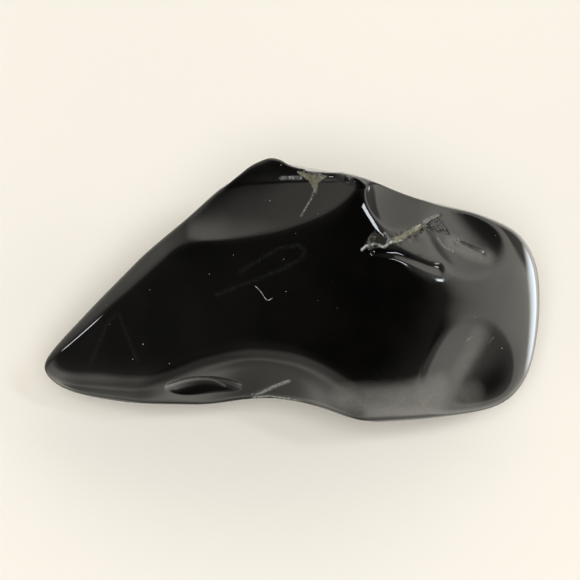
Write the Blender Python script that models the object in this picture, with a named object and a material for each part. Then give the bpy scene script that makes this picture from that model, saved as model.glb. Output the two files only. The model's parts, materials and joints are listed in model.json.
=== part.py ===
"""A tumbled chunk of obsidian.

A block of black volcanic glass broke along broad faces and was worn smooth in a tumbler. It has been
chipped and cracked along its crest since. One end is a thin wedge, the other is blunt. It lies on a worn
flat of its underside.

Frame: +X runs along the length toward the blunt end, +Y to the back and +Z up. The floor is z = 0 and the
Z axis passes through the middle of the box. All lengths are in millimetres until the last step, which
scales the finished mesh to metres.
"""

import bmesh
import bpy
import numpy as np

METRES = 0.001

# The faces of the block are measured from this point.
MIDDLE = (0.0, 0.0, 5.5)

# name, facing, distance from the middle, how softly the edges around it are worn
FACES = (
    ("underside", (0.00, 0.00, -1.00), 5.75, 0.40),
    ("top, wedge end", (-0.27, -0.36, 0.89), 4.40, 0.40),
    ("top, blunt end", (0.10, -0.43, 0.90), 5.55, 0.60),
    ("long side at the back left", (-0.70, 0.70, 0.17), 7.90, 0.30),
    ("crest corner", (-0.40, 0.85, 0.34), 7.74, 0.30),
    ("upper back", (0.27, 0.89, 0.36), 7.62, 0.30),
    ("back right corner", (0.80, 0.56, 0.22), 13.50, 0.70),
    ("blunt end", (1.00, -0.05, -0.02), 15.70, 0.40),
    ("front right corner", (0.68, -0.68, -0.27), 14.50, 0.50),
    ("front of the right lobe", (0.13, -0.92, -0.37), 8.95, 0.40),
    ("front of the left lobe", (-0.07, -0.92, -0.37), 8.00, 0.30),
    ("end of the wedge", (-0.86, -0.47, -0.19), 16.66, 0.40),
    ("top, back right", (0.45, -0.04, 0.89), 7.75, 0.30),
    ("slope to the blunt end", (0.56, -0.36, 0.75), 8.50, 0.50),
    ("slope to the front right", (0.42, -0.65, 0.64), 9.15, 0.50),
    ("shoulder of the blunt end", (0.92, -0.14, 0.35), 14.10, 0.50),
    ("front slope, left lobe", (-0.20, -0.92, 0.34), 7.30, 0.50),
    ("front slope, right lobe", (0.10, -0.93, 0.35), 8.40, 0.50),
    ("back", (0.15, 0.98, -0.12), 7.60, 0.80),
    ("back left", (-0.62, 0.76, -0.20), 8.60, 0.80),
    ("under the wedge", (-0.47, 0.10, -0.88), 9.30, 0.70),
    ("under the front", (-0.05, -0.62, -0.78), 7.40, 0.70),
    ("under the back", (0.10, 0.62, -0.78), 6.50, 0.90),
    ("under the blunt end", (0.55, -0.10, -0.83), 11.30, 0.70),
)

# Shallow bowls that flakes left: name, middle of the rim, facing, direction of the length, length, width,
# depth, how softly the rim is worn
FLAKES = (
    ("long bevel", (-9.39, 0.49, 7.54), (-0.60, 0.23, 0.76), (0.69, 0.63, 0.35),
     26.0, 7.0, 0.25, 0.40),
    ("bevel under the crest", (-1.65, 3.50, 10.07), (-0.33, 0.31, 0.89), (0.93, 0.28, 0.25),
     11.0, 8.8, 0.46, 0.35),
    ("valley between the lobes", (-3.39, -6.50, 4.91), (-0.08, -0.94, 0.33), (0.36, 0.28, 0.89),
     11.0, 8.0, 0.75, 1.00),
    ("foot of the valley", (-1.03, -6.72, 1.59), (0.02, -0.89, -0.46), (0.00, -0.46, 0.89),
     16.0, 10.2, 1.20, 0.70),
    ("behind the hollow", (7.59, 4.24, 9.80), (0.28, 0.89, 0.36), (0.96, -0.26, -0.10),
     4.5, 4.0, 0.12, 0.20),
    ("broken crest", (1.18, 6.34, 9.60), (0.12, 0.88, 0.46), (0.99, -0.11, -0.05),
     5.0, 4.0, 0.22, 0.10),
    ("worn long side", (-6.82, 3.71, 8.09), (-0.66, 0.70, 0.28), (0.75, 0.61, 0.25),
     8.0, 6.0, 0.25, 0.30),
    ("scoop at the lower right", (12.30, -4.93, 5.28), (0.29, -0.54, 0.79), (0.49, 0.79, 0.36),
     5.6, 4.0, 0.27, 0.25),
    ("dark hollow", (12.24, 2.62, 8.00), (0.31, -0.16, 0.94), (0.77, -0.54, -0.35),
     5.2, 3.6, 0.17, 0.15),
)

# Pockets with a flat floor and steep sides, in the same order
POCKETS = (
    ("hollow behind the ridge", (6.92, 2.98, 10.90), (0.37, 0.05, 0.93), (0.89, -0.29, -0.34),
     5.6, 5.0, 0.40, 0.12),
    ("flat front of the left lobe", (-8.12, -6.79, 3.08), (0.00, -0.93, -0.37), (1.00, 0.00, 0.00),
     13.0, 11.0, 0.15, 0.25),
    ("chip at the lower left", (-5.05, -6.01, 4.14), (-0.02, -0.65, 0.76), (1.00, -0.06, -0.02),
     3.9, 1.6, 0.19, 0.05),
    ("hollow above the pit", (8.69, 3.30, 9.98), (0.38, 0.02, 0.92), (0.85, -0.41, -0.34),
     3.0, 2.2, 0.20, 0.15),
)

# Sharp three-sided nicks: name, the corners on the surface, the bottom, how softly the edges are worn
NICKS = (
    ("notch in the crest", ((0.18, 5.93, 9.96), (2.03, 5.16, 10.88), (1.37, 4.09, 10.63)),
     (1.20, 5.32, 9.97), 0.05),
    ("chip at the foot of the ridge", ((4.10, 0.31, 11.15), (4.75, 1.33, 11.44), (5.82, 0.83, 10.98)),
     (4.87, 0.76, 11.00), 0.04),
    ("open crack", ((5.67, 0.75, 11.01), (7.66, 2.41, 10.23), (7.89, 1.72, 10.19)),
     (7.61, 2.00, 10.07), 0.03),
    ("hollow below the crack", ((5.76, 0.71, 10.96), (9.96, 0.29, 8.93), (9.20, 2.25, 9.51)),
     (7.58, 1.31, 10.16), 0.06),
    ("pit", ((7.60, 2.12, 10.24), (8.88, 3.34, 9.47), (9.35, 2.11, 9.06)),
     (8.01, 2.48, 9.58), 0.04),
)

# Grooves along a line of points: name, points, width, depth
GROOVES = (
    ("closed crack",
     ((-0.33, -6.06, 5.97), (-1.33, -6.09, 4.96), (-2.37, -6.23, 3.88)),
     0.34, 0.12),
    ("under the lip",
     ((-2.25, -6.28, 3.56), (-1.52, -6.34, 4.01), (-0.33, -6.60, 4.30), (1.20, -7.11, 4.70),
      (2.16, -7.55, 4.87)), 0.30, 0.14),
    ("trough below the hollow",
     ((4.86, 0.28, 11.06), (6.05, 0.28, 10.76), (7.13, 0.06, 10.31), (7.98, -0.15, 9.89),
      (8.65, -0.23, 9.55)), 0.95, 0.13),
    ("slit below the dark hollow",
     ((9.84, 1.75, 8.77), (10.65, 1.54, 8.34), (11.39, 1.33, 8.01)),
     0.62, 0.06),
)

# The round roll along the crest: x, y, z of its middle line and its radius
ROLL = (
    (-5.94, 4.32, 7.32, -0.04), (-5.32, 4.68, 7.53, 0.16), (-4.71, 5.09, 7.78, 0.27),
    (-4.09, 5.51, 8.03, 0.33), (-3.23, 5.98, 8.36, 0.43), (-2.62, 6.15, 8.48, 0.69),
    (-2.01, 6.23, 8.64, 0.88), (-1.40, 6.24, 8.85, 1.00), (-0.79, 6.10, 9.11, 0.92),
    (-0.18, 5.85, 9.43, 0.67), (0.42, 5.65, 9.75, 0.53), (1.14, 5.44, 10.12, 0.47),
    (1.97, 5.11, 10.63, 0.37), (2.85, 4.78, 11.17, 0.35), (3.37, 4.39, 11.64, 0.35),
    (3.83, 4.09, 11.83, 0.43), (4.18, 3.95, 11.86, 0.31), (4.54, 3.96, 11.86, -0.04),
)
ROLL_FACING = (0.00, -0.37, 0.93)
ROLL_FLATNESS = 0.50
ROLL_SOFT = 0.08

# Tumbling leaves the faces very slightly wavy.
WAVE_HEIGHT = 0.018
WAVE_LENGTHS = (3.1, 4.3, 5.7, 7.9)

# The mesh starts as a ball stretched along this core line, and is split where it is coarse or bends.
CORE_MIDDLE = (-0.5, -1.9, 4.65)
CORE_HALF = (10.0, 1.45, 0.65)
LONGEST_EDGE = 1.3
SHORTEST_EDGE = 0.38
BEND = 0.19


def unit(vector):
    vector = np.asarray(vector, dtype=float)
    return vector / np.linalg.norm(vector)


def smooth_max(a, b, soft):
    """The larger of a and b, rounded over where they are within soft of each other."""
    blend = np.maximum(soft - np.abs(a - b), 0.0) / soft
    return np.maximum(a, b) + blend * blend * soft * 0.25


def tilted_axes(facing, along):
    """Three square directions: facing, along the length and across."""
    facing = unit(facing)
    along = np.asarray(along, dtype=float)
    along = unit(along - facing * (along @ facing))
    return facing, along, np.cross(facing, along)


def worn_block(points):
    """Distance outside the block whose faces meet in softly worn edges."""
    facings = np.array([unit(face[1]) for face in FACES])
    distances = np.array([face[2] for face in FACES])
    softness = np.array([face[3] for face in FACES])
    heights = ((points - np.array(MIDDLE)) @ facings.T - distances) / softness
    highest = heights.max(axis=1)
    spread = np.exp(heights - highest[:, None]).sum(axis=1)
    return 0.5 * (highest + np.log(spread))


def flake(points, middle, facing, along, length, width, depth, steepness):
    """Height over a hollow that is depth deep: a bowl, or a pocket if the steepness is 2."""
    facing, along, across = tilted_axes(facing, along)
    offset = points - np.array(middle)
    u = offset @ along / (0.5 * length)
    v = offset @ across / (0.5 * width)
    return offset @ facing + depth * (1.0 - (u * u + v * v) ** steepness)


def nick(points, corners, bottom):
    """Height over a three-sided pit that runs from its corners down to its bottom."""
    corners = np.array(corners)
    bottom = np.array(bottom)
    middle = corners.mean(axis=0)
    inside = np.full(len(points), -1e9)
    for first, second in ((0, 1), (1, 2), (2, 0)):
        side = unit(np.cross(corners[first] - bottom, corners[second] - bottom))
        if side @ (middle - bottom) > 0.0:
            side = -side
        inside = np.maximum(inside, (points - bottom) @ side)
    return -inside


def groove(points, line, width, depth):
    """Depth of a groove, fading out half its width from the line."""
    line = np.array(line)
    nearest = np.full(len(points), 1e9)
    for start, end in zip(line[:-1], line[1:]):
        run = end - start
        share = np.clip((points - start) @ run / (run @ run), 0.0, 1.0)
        gap = np.linalg.norm(points - start - share[:, None] * run, axis=1)
        nearest = np.minimum(nearest, gap)
    fade = np.clip(1.0 - (2.0 * nearest / width) ** 2, 0.0, 1.0)
    return depth * fade * fade


def curve(at, places, values):
    """A smooth curve through the values at the places."""
    leans = np.gradient(values, places)
    number = np.clip(np.searchsorted(places, at) - 1, 0, len(places) - 2)
    span = places[number + 1] - places[number]
    share = np.clip((at - places[number]) / span, 0.0, 1.0)
    rest = 1.0 - share
    return (values[number] * rest * rest * (1.0 + 2.0 * share)
            + values[number + 1] * share * share * (3.0 - 2.0 * share)
            + span * share * rest * (leans[number] * rest - leans[number + 1] * share))


def roll(points, rows, facing, flatness):
    """Distance outside a roll that runs along X and is flattened toward facing."""
    rows = np.array(rows)
    y, z, radius = (curve(points[:, 0], rows[:, 0], rows[:, number]) for number in (1, 2, 3))
    y = points[:, 1] - y
    z = points[:, 2] - z
    toward = y * facing[1] + z * facing[2]
    sideways = y * facing[2] - z * facing[1]
    return flatness * (np.hypot(sideways, toward / flatness) - radius)


def waves(points):
    """The same gentle waves in every direction, each with its own phase."""
    total = np.zeros(len(points))
    for number, length in enumerate(WAVE_LENGTHS):
        turn = 1.9 * number
        direction = unit((np.cos(turn), np.sin(turn), 0.6 * np.cos(2.3 * turn)))
        sideways = unit(np.cross(direction, (0.2, 0.3, 1.0)))
        total += np.sin(points @ direction * 2.0 * np.pi / length + turn)
        total += np.sin(points @ sideways * 2.0 * np.pi / length + 2.0 * turn)
    return WAVE_HEIGHT * total / len(WAVE_LENGTHS)


def stone(points):
    """Distance outside the stone, roughly, in millimetres."""
    height = worn_block(points)
    for steepness, table in ((1, FLAKES), (2, POCKETS)):
        for name, middle, facing, along, length, width, depth, soft in table:
            hollow = flake(points, middle, facing, along, length, width, depth, steepness)
            height = smooth_max(height, hollow, soft)
    crest = roll(points, ROLL, ROLL_FACING, ROLL_FLATNESS)
    height = waves(points) - smooth_max(-height, -crest, ROLL_SOFT)
    for name, line, width, depth in GROOVES:
        height = height + groove(points, line, width, depth)
    for name, corners, bottom, soft in NICKS:
        height = smooth_max(height, nick(points, corners, bottom), soft)
    # The stone lies on the flat that this last cut leaves.
    return np.maximum(height, -points[:, 2])


def slope(points, step=0.004):
    """How fast the distance grows along each axis."""
    here = stone(points)
    rises = [stone(points + step * axis) - here for axis in np.eye(3)]
    return here, np.stack(rises, axis=1) / step


def settle(points, rounds=6):
    """Slides points straight onto the surface."""
    for _ in range(rounds):
        height, rise = slope(points)
        steep = np.maximum((rise * rise).sum(axis=1), 0.2)
        points = points - (np.clip(height, -0.4, 0.4) / steep)[:, None] * rise
    return points


def shoot(directions):
    """Where rays from the core line first leave the stone."""
    starts = np.array(CORE_MIDDLE) + directions[:, :1] * np.array(CORE_HALF)
    near = np.zeros(len(directions))
    far = np.full(len(directions), 16.0)
    for _ in range(40):
        middle = 0.5 * (near + far)
        outside = stone(starts + middle[:, None] * directions) > 0.0
        far = np.where(outside, middle, far)
        near = np.where(outside, near, middle)
    return starts + near[:, None] * directions


def positions(mesh):
    return np.array([vert.co[:] for vert in mesh.verts])


def move(mesh, points):
    for vert, point in zip(mesh.verts, points):
        vert.co = point


def relax(mesh, share=0.4):
    """Evens out the triangles: each corner moves toward its neighbours, then back onto the surface."""
    points = positions(mesh)
    ends = np.array([(edge.verts[0].index, edge.verts[1].index) for edge in mesh.edges])
    total = np.zeros_like(points)
    count = np.zeros(len(points))
    for here, there in ((0, 1), (1, 0)):
        np.add.at(total, ends[:, here], points[ends[:, there]])
        np.add.at(count, ends[:, here], 1.0)
    move(mesh, settle(points + share * (total / count[:, None] - points), 3))


def split_where_needed(mesh):
    """Splits edges that are too long, and shorter ones over which the surface bends.

    Returns True if any was split.
    """
    mesh.verts.index_update()
    points = positions(mesh)
    facings = slope(points)[1]
    facings = facings / np.linalg.norm(facings, axis=1)[:, None]
    edges = list(mesh.edges)
    ends = np.array([(edge.verts[0].index, edge.verts[1].index) for edge in edges])
    lengths = np.linalg.norm(points[ends[:, 0]] - points[ends[:, 1]], axis=1)
    bends = np.linalg.norm(facings[ends[:, 0]] - facings[ends[:, 1]], axis=1)
    wanted = (lengths > LONGEST_EDGE) | ((lengths > SHORTEST_EDGE) & (bends > BEND))
    if not wanted.any():
        return False
    bmesh.ops.subdivide_edges(mesh, edges=[edges[i] for i in np.flatnonzero(wanted)], cuts=1)
    bmesh.ops.triangulate(mesh, faces=[face for face in mesh.faces if len(face.verts) > 3])
    mesh.verts.index_update()
    move(mesh, settle(positions(mesh), 4))
    return True


def stone_mesh():
    """The stone as a closed triangle mesh in millimetres, centred over the floor."""
    mesh = bmesh.new()
    bmesh.ops.create_icosphere(mesh, subdivisions=4, radius=1.0)
    mesh.verts.index_update()
    move(mesh, shoot(positions(mesh)))
    for _ in range(3):
        relax(mesh)
    for _ in range(5):
        if not split_where_needed(mesh):
            break
        relax(mesh, 0.25)
    points = settle(positions(mesh))
    points[np.abs(points[:, 2]) < 0.002, 2] = 0.0
    points[:, :2] -= 0.5 * (points[:, :2].min(axis=0) + points[:, :2].max(axis=0))
    move(mesh, points * METRES)
    return mesh


def black_glass():
    material = bpy.data.materials.new("black volcanic glass")
    material.use_nodes = True
    shader = material.node_tree.nodes["Principled BSDF"]
    shader.inputs["Base Color"].default_value = (0.006, 0.006, 0.006, 1.0)
    shader.inputs["Roughness"].default_value = 0.06
    shader.inputs["IOR"].default_value = 1.5
    return material


for old in list(bpy.data.objects):
    bpy.data.objects.remove(old, do_unlink=True)

built = stone_mesh()
data = bpy.data.meshes.new("stone")
built.to_mesh(data)
built.free()
for polygon in data.polygons:
    # Only the flat that it lies on keeps flat shading.
    polygon.use_smooth = any(data.vertices[i].co.z > 0.0 for i in polygon.vertices)
data.materials.append(black_glass())
bpy.context.scene.collection.objects.link(bpy.data.objects.new("stone", data))
print("stone:", len(data.polygons), "triangles")
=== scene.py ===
# %% [markdown]
# # A tumbled chunk of obsidian
#
# Obsidian is volcanic glass. This chunk broke along broad faces, was worn smooth in a tumbler, and
# has been chipped and cracked along its crest since. Almost all that the eye reads on it is
# reflection, so the lesson is about three things: a surface that is smooth to a hundredth of a
# millimetre, small sharp damage that is really cut into it, and a quiet studio for it to mirror.
#
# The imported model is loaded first. It gives the frame: metres, +X along the stone, +Z up, and the
# floor at zero.

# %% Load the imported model
import json
import math

import bmesh
import bpy
import numpy as np
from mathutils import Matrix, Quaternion, Vector, noise

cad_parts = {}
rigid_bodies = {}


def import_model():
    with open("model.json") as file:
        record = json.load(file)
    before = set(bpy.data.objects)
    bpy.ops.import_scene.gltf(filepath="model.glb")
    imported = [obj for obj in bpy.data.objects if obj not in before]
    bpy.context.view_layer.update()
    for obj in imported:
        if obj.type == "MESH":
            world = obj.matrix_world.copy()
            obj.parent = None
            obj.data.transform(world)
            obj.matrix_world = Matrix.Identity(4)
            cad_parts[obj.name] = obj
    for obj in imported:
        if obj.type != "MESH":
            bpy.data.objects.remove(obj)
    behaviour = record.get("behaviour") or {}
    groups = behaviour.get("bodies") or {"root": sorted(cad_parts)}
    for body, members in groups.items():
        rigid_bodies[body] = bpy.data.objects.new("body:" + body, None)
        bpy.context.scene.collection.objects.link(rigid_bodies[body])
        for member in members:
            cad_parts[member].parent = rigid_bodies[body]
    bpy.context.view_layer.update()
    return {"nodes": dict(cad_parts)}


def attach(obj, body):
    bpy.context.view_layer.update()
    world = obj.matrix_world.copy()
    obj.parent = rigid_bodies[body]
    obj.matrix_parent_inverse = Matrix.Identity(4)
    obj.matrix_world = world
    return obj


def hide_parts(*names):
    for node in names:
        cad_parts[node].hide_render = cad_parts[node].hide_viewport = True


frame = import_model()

MILLIMETRE = 0.001
scene = bpy.context.scene
print("packed nodes:", sorted(frame["nodes"]))

# %% [markdown]
# ## The stone as a formula
#
# A stone like this could be sculpted by hand, but its parts follow rules. It is a block whose faces
# meet in softly worn edges, with shallow bowls where flakes came off and sharp nicks that are younger
# than the polish. Each rule is a height function: below zero inside the stone, above zero outside.
# Combining them gives one function, and the surface is where it is zero. Its values can be changed
# one at a time, and the mesh can be made as fine as the reflections need.
#
# All of these are in millimetres, from a point on the floor under the middle of the block.

# %% Faces, flakes, nicks and cracks
MIDDLE = (0.0, 0.0, 5.5)

# name, facing, distance from the middle, how softly the edges around it are worn
FACES = (
    ("underside", (0.00, 0.00, -1.00), 5.75, 0.40),
    ("top, wedge end", (-0.27, -0.36, 0.89), 4.40, 0.40),
    ("top, blunt end", (0.10, -0.43, 0.90), 5.55, 0.60),
    ("long side at the back left", (-0.70, 0.70, 0.17), 7.90, 0.30),
    ("crest corner", (-0.40, 0.85, 0.34), 7.74, 0.30),
    ("upper back", (0.27, 0.89, 0.36), 7.62, 0.30),
    ("back right corner", (0.80, 0.56, 0.22), 13.50, 0.70),
    ("blunt end", (1.00, -0.05, -0.02), 15.70, 0.40),
    ("front right corner", (0.68, -0.68, -0.27), 14.50, 0.50),
    ("front of the right lobe", (0.13, -0.92, -0.37), 8.95, 0.40),
    ("front of the left lobe", (-0.07, -0.92, -0.37), 8.00, 0.30),
    ("end of the wedge", (-0.86, -0.47, -0.19), 16.66, 0.40),
    ("top, back right", (0.45, -0.04, 0.89), 7.75, 0.30),
    ("slope to the blunt end", (0.56, -0.36, 0.75), 8.50, 0.50),
    ("slope to the front right", (0.42, -0.65, 0.64), 9.15, 0.50),
    ("shoulder of the blunt end", (0.92, -0.14, 0.35), 14.10, 0.50),
    ("front slope, left lobe", (-0.20, -0.92, 0.34), 7.30, 0.50),
    ("front slope, right lobe", (0.10, -0.93, 0.35), 8.40, 0.50),
    ("back", (0.15, 0.98, -0.12), 7.60, 0.80),
    ("back left", (-0.62, 0.76, -0.20), 8.60, 0.80),
    ("under the wedge", (-0.47, 0.10, -0.88), 9.30, 0.70),
    ("under the front", (-0.05, -0.62, -0.78), 7.40, 0.70),
    ("under the back", (0.10, 0.62, -0.78), 6.50, 0.90),
    ("under the blunt end", (0.55, -0.10, -0.83), 11.30, 0.70),
)

# Shallow bowls that flakes left: name, middle of the rim, facing, direction of the length,
# length, width, depth, how softly the rim is worn
FLAKES = (
    ("long bevel", (-9.39, 0.49, 7.54), (-0.60, 0.23, 0.76), (0.69, 0.63, 0.35),
     26.0, 7.0, 0.25, 0.40),
    ("bevel under the crest", (-1.65, 3.50, 10.07), (-0.33, 0.31, 0.89), (0.93, 0.28, 0.25),
     11.0, 8.8, 0.46, 0.55),
    ("valley between the lobes", (-3.39, -6.50, 4.91), (-0.08, -0.94, 0.33), (0.36, 0.28, 0.89),
     11.0, 8.0, 0.75, 1.00),
    ("foot of the valley", (-1.03, -6.72, 1.59), (0.02, -0.89, -0.46), (0.00, -0.46, 0.89),
     16.0, 10.2, 1.20, 0.70),
    ("behind the hollow", (7.59, 4.24, 9.80), (0.28, 0.89, 0.36), (0.96, -0.26, -0.10),
     4.5, 4.0, 0.12, 0.20),
    ("broken crest", (1.18, 6.34, 9.60), (0.12, 0.88, 0.46), (0.99, -0.11, -0.05),
     5.0, 4.0, 0.22, 0.10),
    ("worn long side", (-6.82, 3.71, 8.09), (-0.66, 0.70, 0.28), (0.75, 0.61, 0.25),
     8.0, 6.0, 0.25, 0.30),
    ("scoop at the lower right", (12.30, -4.93, 5.28), (0.29, -0.54, 0.79), (0.49, 0.79, 0.36),
     5.6, 4.0, 0.27, 0.60),
    ("dark hollow", (12.24, 2.62, 8.00), (0.31, -0.16, 0.94), (0.77, -0.54, -0.35),
     5.2, 3.6, 0.17, 0.15),
)

# Pockets with a flat floor and steep sides, in the same order
POCKETS = (
    ("hollow behind the ridge", (6.92, 2.98, 10.90), (0.37, 0.05, 0.93), (0.89, -0.29, -0.34),
     5.6, 5.0, 0.40, 0.12),
    ("flat front of the left lobe", (-8.12, -6.79, 3.08), (0.00, -0.93, -0.37), (1.00, 0.00, 0.00),
     13.0, 11.0, 0.15, 0.25),
    ("chip at the lower left", (-5.05, -6.01, 4.14), (-0.02, -0.65, 0.76), (1.00, -0.06, -0.02),
     3.9, 1.6, 0.19, 0.05),
    ("hollow above the pit", (8.69, 3.30, 9.98), (0.38, 0.02, 0.92), (0.85, -0.41, -0.34),
     3.0, 2.2, 0.20, 0.15),
)

# Sharp three-sided nicks: name, the corners on the surface, the bottom, how softly the edges are worn
NICKS = (
    ("notch in the crest", ((0.18, 5.93, 9.96), (2.03, 5.16, 10.88), (1.37, 4.09, 10.63)),
     (1.20, 5.32, 9.97), 0.05),
    ("chip at the foot of the ridge", ((4.10, 0.31, 11.15), (4.75, 1.33, 11.44), (5.82, 0.83, 10.98)),
     (4.87, 0.76, 11.00), 0.04),
    ("open crack", ((5.67, 0.75, 11.01), (7.66, 2.41, 10.23), (7.89, 1.72, 10.19)),
     (7.61, 2.00, 10.07), 0.03),
    ("hollow below the crack", ((5.76, 0.71, 10.96), (9.96, 0.29, 8.93), (9.20, 2.25, 9.51)),
     (7.58, 1.31, 10.16), 0.06),
    ("pit", ((7.60, 2.12, 10.24), (8.88, 3.34, 9.47), (9.35, 2.11, 9.06)),
     (8.01, 2.48, 9.58), 0.04),
)

# Grooves along a line of points: name, points, width, depth
GROOVES = (
    ("closed crack",
     ((-0.33, -6.06, 5.97), (-1.33, -6.09, 4.96), (-2.37, -6.23, 3.88)),
     0.34, 0.12),
    ("under the lip",
     ((-2.25, -6.28, 3.56), (-1.52, -6.34, 4.01), (-0.33, -6.60, 4.30), (1.20, -7.11, 4.70),
      (2.16, -7.55, 4.87)), 0.30, 0.14),
    ("trough below the hollow",
     ((4.86, 0.28, 11.06), (6.05, 0.28, 10.76), (7.13, 0.06, 10.31), (7.98, -0.15, 9.89),
      (8.65, -0.23, 9.55)), 0.95, 0.13),
    ("slit below the dark hollow",
     ((9.84, 1.75, 8.77), (10.65, 1.54, 8.34), (11.39, 1.33, 8.01)),
     0.62, 0.06),
)

# The round roll along the crest: x, y, z of its middle line and its radius
ROLL = (
    (-5.94, 4.32, 7.32, -0.04), (-5.32, 4.68, 7.53, 0.16), (-4.71, 5.09, 7.78, 0.27),
    (-4.09, 5.51, 8.03, 0.33), (-3.23, 5.98, 8.36, 0.43), (-2.62, 6.15, 8.48, 0.69),
    (-2.01, 6.23, 8.64, 0.88), (-1.40, 6.24, 8.85, 1.00), (-0.79, 6.10, 9.11, 0.92),
    (-0.18, 5.85, 9.43, 0.67), (0.42, 5.65, 9.75, 0.53), (1.14, 5.44, 10.12, 0.47),
    (1.97, 5.11, 10.63, 0.37), (2.85, 4.78, 11.17, 0.35), (3.37, 4.39, 11.64, 0.35),
    (3.83, 4.09, 11.83, 0.43), (4.18, 3.95, 11.86, 0.31), (4.54, 3.96, 11.86, -0.04),
)
ROLL_FACING = (0.00, -0.37, 0.93)
ROLL_FLATNESS = 0.50
ROLL_SOFT = 0.08

# Tumbling leaves the faces very slightly wavy.
WAVE_HEIGHT = 0.018
WAVE_LENGTHS = (3.1, 4.3, 5.7, 7.9)
print("faces:", len(FACES), "flakes:", len(FLAKES), "pockets:", len(POCKETS))
print("nicks:", len(NICKS), "grooves:", len(GROOVES))

# %% [markdown]
# A block is the space behind all of its faces, so its height is the largest of the heights over
# them. A plain maximum has knife edges. The logarithm of a sum of exponentials is a maximum with
# every edge and corner rounded, each as softly as its face says, which is just what tumbling does.
#
# Flakes leave bowls, and a bowl is a plane with a square-law dish in it. Nicks are three planes that
# meet in a point below the surface. A groove is a dip along a line, and the crest is a round roll
# that is laid over the rest.

# %% Height functions
def unit(vector):
    vector = np.asarray(vector, dtype=float)
    return vector / np.linalg.norm(vector)


def smooth_max(a, b, soft):
    """The larger of a and b, rounded over where they are within soft of each other."""
    blend = np.maximum(soft - np.abs(a - b), 0.0) / soft
    return np.maximum(a, b) + blend * blend * soft * 0.25


def tilted_axes(facing, along):
    """Three square directions: facing, along the length and across."""
    facing = unit(facing)
    along = np.asarray(along, dtype=float)
    along = unit(along - facing * (along @ facing))
    return facing, along, np.cross(facing, along)


def worn_block(points):
    """Distance outside the block whose faces meet in softly worn edges."""
    facings = np.array([unit(face[1]) for face in FACES])
    distances = np.array([face[2] for face in FACES])
    softness = np.array([face[3] for face in FACES])
    heights = ((points - np.array(MIDDLE)) @ facings.T - distances) / softness
    highest = heights.max(axis=1)
    spread = np.exp(heights - highest[:, None]).sum(axis=1)
    return 0.5 * (highest + np.log(spread))


def flake(points, middle, facing, along, length, width, depth, steepness):
    """Height over a hollow that is depth deep: a bowl, or a pocket if the steepness is 2."""
    facing, along, across = tilted_axes(facing, along)
    offset = points - np.array(middle)
    u = offset @ along / (0.5 * length)
    v = offset @ across / (0.5 * width)
    return offset @ facing + depth * (1.0 - (u * u + v * v) ** steepness)


def nick(points, corners, bottom):
    """Height over a three-sided pit that runs from its corners down to its bottom."""
    corners = np.array(corners)
    bottom = np.array(bottom)
    middle = corners.mean(axis=0)
    inside = np.full(len(points), -1e9)
    for first, second in ((0, 1), (1, 2), (2, 0)):
        side = unit(np.cross(corners[first] - bottom, corners[second] - bottom))
        if side @ (middle - bottom) > 0.0:
            side = -side
        inside = np.maximum(inside, (points - bottom) @ side)
    return -inside


def distance_to_line(points, line):
    """Distance of each point from a line through several points."""
    line = np.array(line)
    nearest = np.full(len(points), 1e9)
    for start, end in zip(line[:-1], line[1:]):
        run = end - start
        share = np.clip((points - start) @ run / (run @ run), 0.0, 1.0)
        gap = np.linalg.norm(points - start - share[:, None] * run, axis=1)
        nearest = np.minimum(nearest, gap)
    return nearest


def groove(points, line, width, depth):
    """Depth of a groove, fading out half its width from the line."""
    fade = np.clip(1.0 - (2.0 * distance_to_line(points, line) / width) ** 2, 0.0, 1.0)
    return depth * fade * fade


def curve(at, places, values):
    """A smooth curve through the values at the places."""
    leans = np.gradient(values, places)
    number = np.clip(np.searchsorted(places, at) - 1, 0, len(places) - 2)
    span = places[number + 1] - places[number]
    share = np.clip((at - places[number]) / span, 0.0, 1.0)
    rest = 1.0 - share
    return (values[number] * rest * rest * (1.0 + 2.0 * share)
            + values[number + 1] * share * share * (3.0 - 2.0 * share)
            + span * share * rest * (leans[number] * rest - leans[number + 1] * share))


def roll(points, rows, facing, flatness):
    """Distance outside a roll that runs along X and is flattened toward facing."""
    rows = np.array(rows)
    y, z, radius = (curve(points[:, 0], rows[:, 0], rows[:, number]) for number in (1, 2, 3))
    y = points[:, 1] - y
    z = points[:, 2] - z
    toward = y * facing[1] + z * facing[2]
    sideways = y * facing[2] - z * facing[1]
    return flatness * (np.hypot(sideways, toward / flatness) - radius)


def waves(points):
    """The same gentle waves in every direction, each with its own phase."""
    total = np.zeros(len(points))
    for number, length in enumerate(WAVE_LENGTHS):
        turn = 1.9 * number
        direction = unit((np.cos(turn), np.sin(turn), 0.6 * np.cos(2.3 * turn)))
        sideways = unit(np.cross(direction, (0.2, 0.3, 1.0)))
        total += np.sin(points @ direction * 2.0 * np.pi / length + turn)
        total += np.sin(points @ sideways * 2.0 * np.pi / length + 2.0 * turn)
    return WAVE_HEIGHT * total / len(WAVE_LENGTHS)


def polished(points):
    """Height over the stone as it left the tumbler."""
    height = worn_block(points)
    for steepness, table in ((1, FLAKES), (2, POCKETS)):
        for name, middle, facing, along, length, width, depth, soft in table:
            hollow = flake(points, middle, facing, along, length, width, depth, steepness)
            height = smooth_max(height, hollow, soft)
    crest = roll(points, ROLL, ROLL_FACING, ROLL_FLATNESS)
    return waves(points) - smooth_max(-height, -crest, ROLL_SOFT)


def stone(points):
    """Height over the stone with its cracks and nicks, cut flat where it lies."""
    height = polished(points)
    for name, line, width, depth in GROOVES:
        height = height + groove(points, line, width, depth)
    for name, corners, bottom, soft in NICKS:
        height = smooth_max(height, nick(points, corners, bottom), soft)
    return np.maximum(height, -points[:, 2])


print("height in the middle of the stone:", stone(np.array([MIDDLE])).round(2), "mm")

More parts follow.
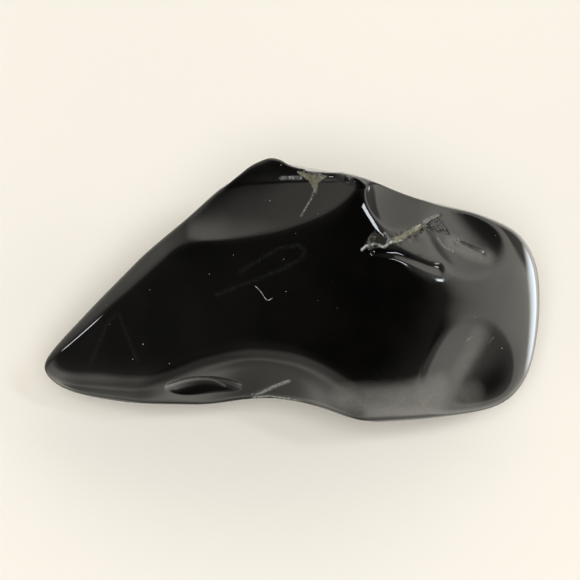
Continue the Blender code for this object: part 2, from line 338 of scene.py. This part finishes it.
# %% [markdown]
# ## The mesh
#
# Marching cubes would turn the formula into a mesh, but it leaves slivers that show as ripples in a
# polished reflection. A ball shrunk onto the surface has even triangles. It starts from a core line
# and not a point, so the thin end gets its share. After that, an edge is split where it is long,
# where the surface bends along it, or where a fine mark will need it, and every new corner slides
# onto the surface.

# %% Shrink a ball onto the formula
CORE_MIDDLE = (-0.5, -1.9, 4.65)
CORE_HALF = (10.0, 1.45, 0.65)
FARTHEST = 16.0
LONGEST_SLIDE = 0.4


def slope(points, step=0.003):
    """The height at each point, and how fast it rises along X, Y and Z."""
    here = stone(points)
    rises = [stone(points + step * axis) - here for axis in np.eye(3)]
    return here, np.stack(rises, axis=1) / step


def settle(points, rounds=4):
    """Slides points down or up their slope until they lie on the surface."""
    for _ in range(rounds):
        height, rise = slope(points)
        steep = np.maximum((rise * rise).sum(axis=1), 0.2)
        slide = np.clip(height, -LONGEST_SLIDE, LONGEST_SLIDE) / steep
        points = points - slide[:, None] * rise
    return points


def shoot(directions):
    """Where a ray from the core line leaves the stone, found by halving."""
    starts = np.array(CORE_MIDDLE) + directions[:, :1] * np.array(CORE_HALF)
    near = np.zeros(len(directions))
    far = np.full(len(directions), FARTHEST)
    for _ in range(26):
        middle = 0.5 * (near + far)
        outside = stone(starts + middle[:, None] * directions) > 0.0
        far = np.where(outside, middle, far)
        near = np.where(outside, near, middle)
    return starts + near[:, None] * directions


def positions(mesh):
    """The corners of the mesh as an array."""
    return np.array([vert.co[:] for vert in mesh.verts])


def edge_ends(mesh):
    """The numbers of the two corners of each edge."""
    return np.array([(edge.verts[0].index, edge.verts[1].index) for edge in mesh.edges])


def move(mesh, points):
    """Puts the mesh's corners at these points."""
    for vert, point in zip(mesh.verts, points):
        vert.co = point


def relax(mesh, share=0.4):
    """Moves each corner toward the middle of its neighbours, then back onto the surface."""
    points = positions(mesh)
    ends = edge_ends(mesh)
    total = np.zeros_like(points)
    count = np.zeros(len(points))
    for here, there in ((0, 1), (1, 0)):
        np.add.at(total, ends[:, here], points[ends[:, there]])
        np.add.at(count, ends[:, here], 1.0)
    move(mesh, settle(points + share * (total / count[:, None] - points), 2))


ball = bmesh.new()
bmesh.ops.create_icosphere(ball, subdivisions=6, radius=1.0)
ball.verts.index_update()
move(ball, shoot(positions(ball)))
for _ in range(3):
    relax(ball)
print("ball on the stone:", len(ball.verts), "corners")

# %% [markdown]
# ## Fine marks
#
# Some marks are finer than any cut: the mineral film along a crack, a hairline, a scuffed patch, and
# a few painted highlights and reflections. They are kept as numbers on the mesh's corners and read by
# the material later. A mark a tenth of a millimetre wide needs corners that close together, but only
# around itself, so the same table that paints the marks also says where to split.

# %% Where the fine marks run
# Thin pale lines, real ones and painted highlights and reflections: name, half width, strength,
# points along the line
LINES = (
    ("hairline", 0.08, 0.20,
     ((1.31, 4.44, 10.44), (1.07, 3.78, 10.59), (0.77, 3.24, 10.64), (0.47, 2.60, 10.75))),
    # The pale rims of the chips below are partly their crushed edges and partly painted highlights
    # where the edges catch the light.
    ("rim of the chip", 0.10, 0.36,
     ((4.04, 0.28, 11.14), (4.28, 0.49, 11.17), (4.75, 0.68, 11.03), (5.34, 0.52, 10.96),
      (5.73, 0.83, 10.97))),
    ("side of the chip", 0.10, 0.18,
     ((5.40, 1.30, 11.21), (5.64, 0.99, 11.05), (5.46, 0.57, 10.98))),
    ("rim of the lower left chip", 0.10, 0.05,
     ((-6.85, -5.60, 4.58), (-6.24, -5.47, 4.57), (-5.33, -5.41, 4.57), (-4.73, -5.49, 4.42),
      (-4.13, -5.75, 4.16))),
    ("rim of the pit", 0.12, 0.12,
     ((7.79, 2.50, 10.12), (8.24, 2.88, 9.84), (8.62, 3.15, 9.61))),
    ("arc by the hollow", 0.12, 0.08,
     ((8.63, 1.71, 9.52), (8.87, 1.38, 9.36), (9.18, 1.20, 9.16), (9.57, 1.13, 8.92))),
    # Painted highlight: this pale line stands for the light caught along the edge of the crest by the
    # notch.
    ("highlight on the edge of the crest", 0.12, 0.25,
     ((-0.73, 5.70, 9.45), (-0.12, 5.61, 9.71), (0.48, 5.48, 10.00))),
    ("closed crack", 0.16, 0.09,
     ((-2.44, -6.25, 3.55), (-1.33, -6.09, 4.78), (-0.36, -6.01, 5.82))),
    ("lip", 0.10, 0.22,
     ((-2.44, -6.25, 3.36), (-1.52, -6.30, 3.88), (-0.36, -6.55, 4.17), (1.20, -7.11, 4.75))),
    ("scratch, left", 0.10, 0.22,
     ((10.47, -3.85, 6.89), (10.78, -3.59, 6.87))),
    ("scratch, right", 0.10, 0.22,
     ((11.81, -3.73, 6.04), (12.12, -3.36, 6.10))),
    # Painted reflection: this faint pale loop on the black top face stands for a faint reflection of
    # the surroundings.
    ("painted faint reflection loop", 0.16, 0.005,
     ((-4.64, -1.50, 8.41), (-2.25, -0.92, 9.35), (-0.47, -0.44, 10.06), (0.53, 0.01, 10.51),
      (0.71, 0.43, 10.72), (0.29, 0.74, 10.75), (-0.77, 0.68, 10.43), (-1.83, 0.25, 9.94),
      (-3.14, -0.38, 9.30))),
    ("faint triangle", 0.16, 0.004,
     ((-12.32, -4.60, 4.72), (-11.19, -2.33, 6.09), (-10.57, -1.88, 6.46), (-9.40, -4.61, 5.66))),
)

# Frosted places where the polish has worn off, and a pale ring painted round the slit for the light
# on
# its rim: the same, but wide and soft
FROST_AND_SHEEN = (
    ("lower edge", 1.60, 0.085,
     ((3.50, -7.56, 6.48), (6.05, -7.61, 6.44), (8.65, -6.95, 5.97))),
    ("bottom right", 1.10, 0.050,
     ((8.65, -6.95, 5.97), (10.90, -6.60, 4.90))),
    ("streak by the scoop", 0.95, 0.040,
     ((11.28, -3.43, 6.62), (10.63, -4.52, 6.12), (9.84, -5.79, 5.74))),
    # Painted highlight: this pale ring round the slit stands for the light caught on the dent's rim.
    ("painted sheen round the slit", 0.62, 0.070,
     ((9.52, 1.71, 8.95), (10.64, 1.29, 8.33), (11.70, 1.19, 7.88))),
    ("blunt end", 1.60, 0.012,
     ((13.60, -2.60, 5.90), (14.20, 0.40, 5.90))),
    ("bottom left", 1.60, 0.012,
     ((-12.00, -7.00, 3.40), (-8.00, -7.30, 3.60))),
)

# The mineral vein along the open crack
VEIN = ((5.67, 0.75, 11.01), (6.50, 1.30, 10.68), (7.00, 1.85, 10.42), (7.66, 2.25, 10.20))
VEIN_HALF_WIDTH = 0.16

FINEST_EDGE = 0.07
LONGEST_EDGE = 0.40
MARK_EDGE = 0.11
MARK_MARGIN = 0.10
BEND = 0.075


def surface_facings(points):
    """The direction straight out of the stone at each point."""
    facings = slope(points)[1]
    return facings / np.linalg.norm(facings, axis=1)[:, None]


def split_where_needed(mesh):
    """Splits the edges that are too long for where they are, and says how many."""
    mesh.verts.index_update()
    points = positions(mesh)
    facings = surface_facings(points)
    edges = list(mesh.edges)
    ends = edge_ends(mesh)
    lengths = np.linalg.norm(points[ends[:, 0]] - points[ends[:, 1]], axis=1)
    bends = np.linalg.norm(facings[ends[:, 0]] - facings[ends[:, 1]], axis=1)
    middles = 0.5 * (points[ends[:, 0]] + points[ends[:, 1]])
    marked = np.zeros(len(edges), dtype=bool)
    for _, half_width, _, line in LINES:
        marked |= distance_to_line(middles, line) < half_width + MARK_MARGIN
    wanted = (lengths > LONGEST_EDGE) | ((lengths > FINEST_EDGE) & (bends > BEND))
    wanted |= marked & (lengths > MARK_EDGE)
    if not wanted.any():
        return 0
    old = len(mesh.verts)
    bmesh.ops.subdivide_edges(mesh, edges=[edges[i] for i in np.flatnonzero(wanted)], cuts=1)
    bmesh.ops.triangulate(mesh, faces=[face for face in mesh.faces if len(face.verts) > 3])
    mesh.verts.index_update()
    points = positions(mesh)
    points[old:] = settle(points[old:], 3)
    move(mesh, points)
    return int(wanted.sum())


for _ in range(4):
    split = split_where_needed(ball)
    print("split", split, "edges, now", len(ball.faces), "triangles")
    if not split:
        break
    relax(ball, 0.25)

# %% [markdown]
# A face that broke after the tumbling is not smooth: it is rippled and hackled. The fresh nicks get
# that here, as a small noise along the surface's own direction, only inside them. Then each corner
# gets its numbers: how much mineral film, how pale a line and how much frost, a number that also
# holds a painted sheen round the slit.

# %% Paint the marks and roughen the fresh breaks
# Ripples in a fresh break: how many to the millimetre, how high
RIPPLES = ((3.5, 0.06), (9.0, 0.03))
FILM_IN_CRACK = 0.9
PALE_IN_HOLLOW = 0.035


def row_named(table, wanted):
    """The rest of the row that starts with this name."""
    return next(row[1:] for row in table if row[0] == wanted)


def inside_nick(points, name, soft=0.05):
    """One where this nick, and not the polish, is the surface."""
    corners, bottom, _ = row_named(NICKS, name)
    return np.clip((nick(points, corners, bottom) - polished(points)) / soft + 0.5, 0.0, 1.0)


def strongest(points, marks):
    """The strongest of these marks at each point, fading out from its line."""
    total = np.zeros(len(points))
    for _, half_width, strength, line in marks:
        near = np.clip(1.0 - (distance_to_line(points, line) / half_width) ** 2, 0.0, 1.0)
        total = np.maximum(total, strength * near)
    return total


points = settle(positions(ball), 3)
facings = surface_facings(points)

notch = inside_nick(points, "notch in the crest")
pit = inside_nick(points, "pit")
foot = inside_nick(points, "chip at the foot of the ridge")
opened = inside_nick(points, "open crack")
broken = np.maximum.reduce([notch, pit, foot, opened])

rough = np.zeros(len(points))
for i in np.flatnonzero(broken > 0.0):
    corner = Vector(points[i])
    rough[i] = sum(noise.noise(corner * often) * high for often, high in RIPPLES)
points = points + (rough * broken)[:, None] * facings

# The film is full along the vein and gone a little past its half width.
beside_vein = np.clip(1.6 - distance_to_line(points, VEIN) / VEIN_HALF_WIDTH, 0.0, 1.0)
film = np.maximum(notch, FILM_IN_CRACK * opened * beside_vein)
pale = strongest(points, LINES)
# The frost mask also holds the pale ring painted round the slit as a highlight on its rim.
frost = strongest(points, FROST_AND_SHEEN)

# The hollow below the crack is made a little paler, stopping short of the trough, which stays black.
trough = row_named(GROOVES, "trough below the hollow")[0]
clear_of_trough = np.clip(distance_to_line(points, trough) / 0.5 - 0.2, 0.0, 1.0)
hollow = inside_nick(points, "hollow below the crack", 0.15) * (1.0 - broken)
frost = np.maximum(frost, PALE_IN_HOLLOW * hollow * clear_of_trough)
print("corners in fresh breaks:", int((broken > 0.5).sum()))
print("corners under mineral film:", int((film > 0.5).sum()))

# %% Centre the stone over the floor and make the object
ALMOST_FLAT = 0.002
points[np.abs(points[:, 2]) < ALMOST_FLAT, 2] = 0.0
CENTRE = 0.5 * (points[:, :2].min(axis=0) + points[:, :2].max(axis=0))


def to_scene(place):
    """A place in the formula's millimetres as a place in the scene's metres."""
    return Vector((place[0] - CENTRE[0], place[1] - CENTRE[1], place[2])) * MILLIMETRE


points[:, :2] -= CENTRE
move(ball, points * MILLIMETRE)
data = bpy.data.meshes.new("obsidian chunk")
ball.to_mesh(data)
ball.free()
for name, values in (("film", film), ("broken", broken), ("pale", pale), ("frost", frost)):
    data.attributes.new(name, "FLOAT", "POINT").data.foreach_set("value", values.astype(np.float32))
for polygon in data.polygons:
    polygon.use_smooth = True
chunk = bpy.data.objects.new("obsidian_chunk", data)
scene.collection.objects.link(chunk)
print("stone:", len(data.polygons), "triangles, centre", CENTRE.round(3))

# %% [markdown]
# ## Writing shader maths
#
# A material's maths is easier to read as sums than as boxes and wires. This small class wraps a
# socket, and each operator on it adds one Math node. Everything else goes through one method that
# sets a node's options first and then its sockets.

# %% Sockets that can be added up
class Value:
    """A node's output that can be used in a sum."""

    def __init__(self, graph, socket):
        self.graph = graph
        self.socket = socket

    def __add__(self, other):
        return self.graph.maths("ADD", self, other)

    def __sub__(self, other):
        return self.graph.maths("SUBTRACT", self, other)

    def __rsub__(self, other):
        return self.graph.maths("SUBTRACT", other, self)

    def __mul__(self, other):
        return self.graph.maths("MULTIPLY", self, other)

    def __truediv__(self, other):
        return self.graph.maths("DIVIDE", self, other)

    __radd__ = __add__
    __rmul__ = __mul__

    def out(self, name):
        """Another output of the same node."""
        return Value(self.graph, self.socket.node.outputs[name])


class Graph:
    """A node tree that is written as expressions."""

    def __init__(self, tree):
        self.tree = tree
        tree.nodes.clear()

    def node(self, kind, settings=None, inputs=None, output=0):
        """Adds a node, with its options and then its sockets, and gives one of its outputs."""
        made = self.tree.nodes.new(kind)
        for name, value in (settings or {}).items():
            if name == "stops":
                ramp = made.color_ramp
                while len(ramp.elements) < len(value):
                    ramp.elements.new(0.5)
                for element, (place, colour) in zip(ramp.elements, value):
                    element.position = place
                    element.color = colour
            else:
                setattr(made, name, value)
        for name, value in (inputs or {}).items():
            if isinstance(value, Value):
                self.tree.links.new(value.socket, made.inputs[name])
            else:
                made.inputs[name].default_value = value
        return Value(self, made.outputs[output]) if made.outputs else None

    def maths(self, operation, first, second):
        """One Math node on two numbers."""
        return self.node("ShaderNodeMath", {"operation": operation}, {0: first, 1: second})

    def blend(self, share, first, second):
        """A colour between two colours."""
        settings = {"data_type": "RGBA", "blend_type": "MIX", "clamp_factor": True}
        return self.node("ShaderNodeMix", settings, {0: share, 6: first, 7: second}, output=2)

    def step(self, value, low, high):
        """Rises smoothly from zero at low to one at high."""
        return self.node(
            "ShaderNodeMapRange",
            {"interpolation_type": "SMOOTHSTEP", "clamp": True},
            {"Value": value, "From Min": low, "From Max": high, "To Min": 0.0, "To Max": 1.0},
        )

    def in_millimetres(self):
        """The place on the object, in the units that the stone is given in."""
        place = self.node("ShaderNodeTexCoord", output="Object")
        inputs = {0: place, "Scale": 1.0 / MILLIMETRE}
        return self.node("ShaderNodeVectorMath", {"operation": "SCALE"}, inputs)

    def attribute(self, name):
        """A number kept on the mesh's corners."""
        return self.node("ShaderNodeAttribute", {"attribute_name": name}, output="Fac")

    def noise(self, place, scale, detail=3.0, roughness=0.5, distortion=0.0):
        """Clouds from zero to one; the scale is how many there are to the millimetre."""
        inputs = {
            "Vector": place, "Scale": scale, "Detail": detail,
            "Roughness": roughness, "Distortion": distortion,
        }
        return self.node("ShaderNodeTexNoise", {"noise_dimensions": "3D"}, inputs)


# %% [markdown]
# ## Polished obsidian
#
# The glass is black all the way down, so its colour hardly matters: what shows is the four percent
# that glass mirrors head on, and more where it is seen at a slant. Three things keep it from looking
# like plastic. The polish is never perfect, so roughness drifts from place to place. Broken places
# are duller. And minerals have crept into the cracks, pale and earthy.

# %% The stone's material
BLACK_GLASS = (0.0006, 0.0006, 0.0006, 1.0)
WARMER_GLASS = (0.00184, 0.0016, 0.00136, 1.0)
# Pale colour of the frost, also used for the painted highlight ring round the slit.
FROSTED_AND_SHEEN = (0.84, 0.86, 0.78, 1.0)
FRESH_BREAK = (0.55, 0.50, 0.40, 1.0)
EARTH = (0.095, 0.092, 0.064, 1.0)
PALE_EARTH = (0.18, 0.172, 0.125, 1.0)
CRUST = (0.42, 0.42, 0.38, 1.0)
PALE_LINE = (0.80, 0.86, 0.84, 1.0)
BREAK_DEPTH = 0.03 * MILLIMETRE

obsidian = bpy.data.materials.new("polished obsidian")
obsidian.use_nodes = True
shader = Graph(obsidian.node_tree)
place = shader.in_millimetres()
broken_here = shader.attribute("broken")
film_here = shader.attribute("film")
pale_here = shader.attribute("pale")
frost_and_sheen_here = shader.attribute("frost")

clouds = shader.noise(place, 0.35, 4.0)
smears = shader.noise(place, 1.3, 4.0, 0.6, 0.8)
fine = shader.noise(place, 6.0, 5.0, 0.6)

# Noise eats into each mark, so that none has a drawn edge.
crusted = shader.step(film_here + (fine - 0.5) * 0.6, 0.35, 0.65)
# The pale lines are real hairlines and scratches, and also painted highlights on the crest edge and
# chip rims, and a painted faint reflection on the top face.
lines = pale_here * (0.15 + 1.5 * shader.step(fine, 0.3, 0.7))
# Frost, and the painted highlight ring round the slit, turn the glass pale and rough.
haze_and_sheen = frost_and_sheen_here * (0.3 + 0.9 * smears + 0.5 * fine)

glass = shader.blend(shader.step(clouds, 0.35, 0.7), BLACK_GLASS, WARMER_GLASS)
glass = shader.blend(haze_and_sheen, glass, FROSTED_AND_SHEEN)
glass = shader.blend(broken_here * 0.03, glass, FRESH_BREAK)
earth = shader.blend(shader.step(fine, 0.35, 0.65), EARTH, PALE_EARTH)
earth = shader.blend(0.6 * shader.step(smears, 0.52, 0.68), earth, CRUST)
colour = shader.blend(crusted, glass, earth)
colour = shader.blend(lines, colour, PALE_LINE)

roughness = 0.03 + 0.03 * shader.step(clouds, 0.3, 0.8)
roughness = roughness + 0.20 * broken_here + 2.5 * haze_and_sheen + 0.5 * crusted + 1.2 * lines

inputs = {"Strength": 0.5, "Distance": BREAK_DEPTH, "Height": fine * (broken_here + crusted)}
bump = shader.node("ShaderNodeBump", {}, inputs)
inputs = {"Base Color": colour, "Roughness": roughness, "IOR": 1.5, "Normal": bump}
surface = shader.node("ShaderNodeBsdfPrincipled", {}, inputs)
shader.node("ShaderNodeOutputMaterial", {}, {"Surface": surface})
chunk.data.materials.append(obsidian)
print("obsidian nodes:", len(obsidian.node_tree.nodes))

# %% [markdown]
# ## Crumbs and a thread of lint
#
# A polished stone that has lain about carries a little dust, and a mirror shows every speck. Placing
# dozens of crumbs by hand would be dull and look arranged, so a node tree scatters them over the
# faces that look up. A second tree gives a curve its thickness, for the one curled fibre that clings
# to the top.

# %% Node trees that grow small things
def growing_tree(name, inputs):
    """A tree with these named inputs, and the graph to write it with."""
    tree = bpy.data.node_groups.new(name, "GeometryNodeTree")
    graph = Graph(tree)
    tree.interface.new_socket("Geometry", in_out="INPUT", socket_type="NodeSocketGeometry")
    for label, kind in inputs.items():
        tree.interface.new_socket(label, in_out="INPUT", socket_type="NodeSocket" + kind)
    tree.interface.new_socket("Geometry", in_out="OUTPUT", socket_type="NodeSocketGeometry")
    return tree, graph, graph.node("NodeGroupInput")


def finish_tree(graph, made, material):
    """Every tree ends in real geometry with its material on it."""
    real = graph.node("GeometryNodeRealizeInstances", {}, {"Geometry": made})
    real = graph.node("GeometryNodeSetMaterial", {}, {"Geometry": real, "Material": material})
    graph.node("NodeGroupOutput", {}, {"Geometry": real})


def grown(name, host, tree, values):
    """Runs the tree on the host object and keeps what it makes as a plain mesh object."""
    modifier = host.modifiers.new(tree.name, "NODES")
    modifier.node_group = tree
    for item in tree.interface.items_tree:
        if item.in_out == "INPUT" and item.name in values:
            modifier[item.identifier] = values[item.name]
    bpy.context.view_layer.update()
    evaluated = host.evaluated_get(bpy.context.evaluated_depsgraph_get())
    mesh = bpy.data.meshes.new_from_object(evaluated)
    host.modifiers.remove(modifier)
    thing = bpy.data.objects.new(name, mesh)
    scene.collection.objects.link(thing)
    print(name + ":", len(mesh.polygons), "faces")
    return thing


# Crumbs of random sizes on every face that looks up
dust_tree, scatter, given = growing_tree("crumbs on what looks up", {
    "Crumbs per square metre": "Float", "Radius": "Float", "Smallest share": "Float",
    "Least upward": "Float", "Seed": "Int", "Material": "Material",
})
seed = given.out("Seed")
facing = scatter.node("GeometryNodeInputNormal")
upward = scatter.node("ShaderNodeSeparateXYZ", {}, {0: facing}, output="Z")
spots = scatter.node("GeometryNodeDistributePointsOnFaces", {"distribute_method": "RANDOM"}, {
    "Mesh": given.out("Geometry"), "Density": given.out("Crumbs per square metre"), "Seed": seed,
    "Selection": scatter.maths("GREATER_THAN", upward, given.out("Least upward")),
})
crumb = scatter.node("GeometryNodeMeshIcoSphere", {}, {
    "Radius": given.out("Radius"), "Subdivisions": 1,
})
sizes = scatter.node("FunctionNodeRandomValue", {"data_type": "FLOAT"}, {
    2: given.out("Smallest share"), 3: 1.0, "Seed": seed,
}, output=1)
scattered = scatter.node("GeometryNodeInstanceOnPoints", {}, {
    "Points": spots, "Instance": crumb, "Scale": sizes,
})
finish_tree(scatter, scattered, given.out("Material"))

# A smooth thread along the curve's points
thread_tree, sweep, given = growing_tree("a thread along a curve", {
    "Radius": "Float", "Steps": "Int", "Sides": "Int", "Material": "Material",
})
smooth_path = sweep.node("GeometryNodeCurveSplineType", {"spline_type": "CATMULL_ROM"}, {
    "Curve": given.out("Geometry"),
})
smooth_path = sweep.node("GeometryNodeResampleCurve", {}, {
    "Curve": smooth_path, "Count": given.out("Steps"),
})
profile = sweep.node("GeometryNodeCurvePrimitiveCircle", {}, {
    "Resolution": given.out("Sides"), "Radius": given.out("Radius"),
})
thread = sweep.node("GeometryNodeCurveToMesh", {}, {
    "Curve": smooth_path, "Profile Curve": profile, "Fill Caps": True,
})
finish_tree(sweep, thread, given.out("Material"))

# %% Dust and lint materials
def dusty(name, dark, pale, scale):
    """A matt material that is mottled between two colours."""
    material = bpy.data.materials.new(name)
    material.use_nodes = True
    shader = Graph(material.node_tree)
    clouds = shader.noise(shader.in_millimetres(), scale)
    mottled = shader.blend(shader.step(clouds, 0.35, 0.65), dark, pale)
    inputs = {"Base Color": mottled, "Roughness": 0.8}
    surface = shader.node("ShaderNodeBsdfPrincipled", {}, inputs)
    shader.node("ShaderNodeOutputMaterial", {}, {"Surface": surface})
    return material


dust = dusty("pale dust", (0.10, 0.10, 0.09, 1.0), (0.50, 0.50, 0.46, 1.0), 0.8)
fibre = dusty("lint fibre", (0.22, 0.22, 0.20, 1.0), (0.48, 0.48, 0.45, 1.0), 5.0)

# %% Scatter the crumbs and lay the thread
CRUMB_RADIUS = 0.035
LINT_RADIUS = 0.020
LINT = (
    (-2.25, -1.25, 9.22), (-1.95, -1.55, 9.18), (-1.66, -1.97, 9.10), (-1.48, -2.12, 9.10),
    (-1.22, -2.00, 9.18),
)

crumbs = grown("crumbs", chunk, dust_tree, {
    "Crumbs per square metre": 90000.0, "Radius": CRUMB_RADIUS * MILLIMETRE,
    "Smallest share": 0.3, "Least upward": 0.55, "Seed": 4, "Material": dust,
})

path = bpy.data.curves.new("path of the lint", "CURVE")
path.dimensions = "3D"
spline = path.splines.new("POLY")
spline.points.add(len(LINT) - 1)
for point, spot_on_stone in zip(spline.points, LINT):
    lifted = np.array(spot_on_stone) + (0.0, 0.0, LINT_RADIUS)
    point.co = (*to_scene(lifted), 1.0)
path_object = bpy.data.objects.new("path of the lint", path)
scene.collection.objects.link(path_object)
lint = grown("lint", path_object, thread_tree, {
    "Radius": LINT_RADIUS * MILLIMETRE, "Steps": 28, "Sides": 6, "Material": fibre,
})
bpy.data.objects.remove(path_object)

# %% Hand the stone over to the frame
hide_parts("stone")
for piece in (chunk, crumbs, lint):
    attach(piece, "root")
print("pieces on the root body:", ", ".join(piece.name for piece in (chunk, crumbs, lint)))

# %% [markdown]
# ## The studio
#
# Black glass needs something to mirror and something not to. Overhead it is dark, which keeps the
# broad faces black. Low down, all around, the surroundings are pale, and every slope that leans
# outward picks them up as a soft grey. Both are painted on the world, by heading: how bright the pale
# band is, and how high it reaches. It is brightest on the right, where a window would be.

# %% Surroundings
# azimuth from +Y toward +X in degrees, brightness of the pale band, its upper edge in degrees
PALE_BAND = (
    (-180, 0.40, 20), (-163, 0.42, 20), (-150, 0.75, 21), (-138, 2.00, 22), (-115, 1.50, 27),
    (-88, 0.30, 27), (-60, 0.65, 24), (-28, 0.50, 27), (-22, 1.25, 25), (-16, 1.45, 28),
    (0, 1.40, 38), (20, 1.60, 44), (42, 1.50, 46), (58, 1.90, 41), (72, 2.30, 38),
    (82, 2.40, 33), (100, 2.00, 22), (112, 1.90, 20), (125, 2.00, 23), (140, 2.10, 24),
    (160, 1.40, 22), (180, 0.40, 20),
)
BRIGHTEST = 3.0
HIGHEST = 60.0

# Things that stand dark against the band: azimuth, elevation, the share of light that each takes,
# and the cosines of the angles from its middle at which it begins and at which it is darkest
DARK_THINGS = (
    (62.0, -3.0, 0.72, 0.940, 0.975),
    (120.0, 20.0, 0.65, 0.970, 0.992),
    (-160.0, -33.0, 0.60, 0.940, 0.990),
)

# The same for the window below the horizon, whose glow is added
WINDOW_BELOW = (77.0, -24.0, 0.940, 0.995)
WINDOW_GLOW = 6.0
LAMPLIGHT = (1.0, 0.955, 0.86, 1.0)
DAYLIGHT = (0.86, 0.93, 1.0, 1.0)

world = bpy.data.worlds.new("studio")
scene.world = world
world.use_nodes = True
sky = Graph(world.node_tree)
heading = sky.node("ShaderNodeTexCoord", output="Generated")
split_heading = sky.node("ShaderNodeSeparateXYZ", {}, {0: heading})
east, north, up = split_heading, split_heading.out("Y"), split_heading.out("Z")


def by_azimuth(column, largest):
    """One column of the table as a smooth ramp around the horizon."""
    stops = [((row[0] + 180) / 360, (row[column] / largest,) * 3 + (1.0,)) for row in PALE_BAND]
    turn = sky.maths("ARCTAN2", east, north) / (2.0 * math.pi) + 0.5
    return sky.node("ShaderNodeValToRGB", {"stops": stops}, {"Fac": turn}) * largest


def direction(azimuth, elevation):
    """A heading from two angles in degrees; azimuth turns from +Y toward +X."""
    a, e = math.radians(azimuth), math.radians(elevation)
    return Vector((math.sin(a) * math.cos(e), math.cos(a) * math.cos(e), math.sin(e)))


def spot(azimuth, elevation, outside, inside):
    """One near this direction, fading to zero where the cosine of the angle falls to outside."""
    inputs = {0: heading, 1: direction(azimuth, elevation)}
    toward = sky.node("ShaderNodeVectorMath", {"operation": "DOT_PRODUCT"}, inputs, output="Value")
    return sky.step(toward, outside, inside)


above_horizon = sky.maths("ARCSINE", up, 0.0) * math.degrees(1.0)
above_band = above_horizon - by_azimuth(2, HIGHEST)
in_band = 1.0 - sky.step(above_band, -8.0, 8.0)
fading_out = 0.12 * (1.0 - sky.step(above_band, 0.0, 30.0))
dark_overhead = 0.03 + 0.09 * sky.step(east * -1.0, 0.0, 1.0)
strength = dark_overhead + (in_band + fading_out) * by_azimuth(1, BRIGHTEST)

# The ground in front is lit most.
in_front = sky.step(north * -1.0, 0.2, 0.9) * sky.step(above_horizon * -1.0, 0.0, 25.0)
strength = strength + 1.1 * in_front * in_band

for azimuth, elevation, share, outside, inside in DARK_THINGS:
    strength = strength * (1.0 - share * spot(azimuth, elevation, outside, inside))

# Close to the stone's foot there is only its own shadow to mirror.
strength = strength * (1.0 - 0.75 * sky.step(above_horizon * -1.0, 40.0, 65.0))

glow = spot(*WINDOW_BELOW)
tint = sky.blend(glow, LAMPLIGHT, DAYLIGHT)
inputs = {"Color": tint, "Strength": strength + WINDOW_GLOW * glow}
background = sky.node("ShaderNodeBackground", {}, inputs)
sky.node("ShaderNodeOutputWorld", {}, {"Surface": background})
print("surroundings:", len(PALE_BAND), "stops round the horizon,", len(DARK_THINGS), "dark things")

# %% Panels of light
PANEL_DISTANCE = 0.6
PANEL_AIM = Vector((0.0, 0.0, 0.005))


def panel(name, azimuth, elevation, size, power, colour, roll=0.0, mirrored=True):
    """A flat light that looks at the stone from this direction."""
    lamp = bpy.data.lights.new(name, "AREA")
    lamp.shape = "RECTANGLE"
    lamp.size, lamp.size_y = size
    lamp.energy = power
    lamp.color = colour
    thing = bpy.data.objects.new(name, lamp)
    scene.collection.objects.link(thing)
    away = direction(azimuth, elevation)
    thing.location = PANEL_AIM + away * PANEL_DISTANCE
    turned = away.to_track_quat("Z", "Y") @ Quaternion((0.0, 0.0, 1.0), math.radians(roll))
    thing.rotation_euler = turned.to_euler()
    thing.visible_glossy = mirrored
    print(name + ":", power, "W")


# The big one lights the floor and the dust and is not mirrored. The three small ones are.
panel("overhead", 180.0, 68.0, (0.45, 0.45), 2.72, (1.0, 0.975, 0.95), mirrored=False)
panel("window", 92.0, 55.0, (0.063, 0.126), 0.42, (0.90, 0.95, 1.0), roll=-38.0)
panel("small window", 88.0, 34.0, (0.031, 0.031), 0.062, (0.86, 0.93, 1.0))
panel("small window, left", -82.0, 31.0, (0.032, 0.032), 0.055, (0.90, 0.93, 1.0))

# %% Floor
FLOOR_REACH = 2.0
FLOOR_CORNERS = ((-1, -1), (1, -1), (1, 1), (-1, 1))
corners = [(x * FLOOR_REACH, y * FLOOR_REACH, 0.0) for x, y in FLOOR_CORNERS]
floor_mesh = bpy.data.meshes.new("floor")
floor_mesh.from_pydata(corners, [], [(0, 1, 2, 3)])
floor = bpy.data.objects.new("floor", floor_mesh)
scene.collection.objects.link(floor)
plaster = bpy.data.materials.new("pale floor")
plaster.use_nodes = True
shader = Graph(plaster.node_tree)
inputs = {"Base Color": (0.87, 0.845, 0.785, 1.0), "Roughness": 0.8, "Specular IOR Level": 0.0}
surface = shader.node("ShaderNodeBsdfPrincipled", {}, inputs)
shader.node("ShaderNodeOutputMaterial", {}, {"Surface": surface})
floor_mesh.materials.append(plaster)
# The glass mirrors the painted surroundings below the horizon too, and not this flat sheet.
floor.visible_glossy = False
print("floor:", 2.0 * FLOOR_REACH, "m wide")

# %% [markdown]
# ## The camera
#
# It looks down at 68 degrees, from in front and about 12 cm away, so the near edge of the stone is a
# little larger than the far one.

# %% Camera
LOOKS_DOWN = math.radians(68.0)
CAMERA_DISTANCE = 118.0
CAMERA_AIM = np.array([-0.184, 0.0, 5.5])
LENS = 119.63
SENSOR_WIDTH = 36.0

toward = np.array([0.0, -math.cos(LOOKS_DOWN), math.sin(LOOKS_DOWN)])
camera_data = bpy.data.cameras.new("camera")
camera_data.lens = LENS
camera_data.sensor_width = SENSOR_WIDTH
camera_data.clip_start = 5.0 * MILLIMETRE
camera = bpy.data.objects.new("camera", camera_data)
scene.collection.objects.link(camera)
camera.location = to_scene(CAMERA_AIM + CAMERA_DISTANCE * toward)
camera.rotation_euler = Vector(toward).to_track_quat("Z", "Y").to_euler()
scene.camera = camera
scene.view_settings.view_transform = "Standard"
scene.view_settings.look = "None"
print("camera at", [round(value, 4) for value in camera.location])
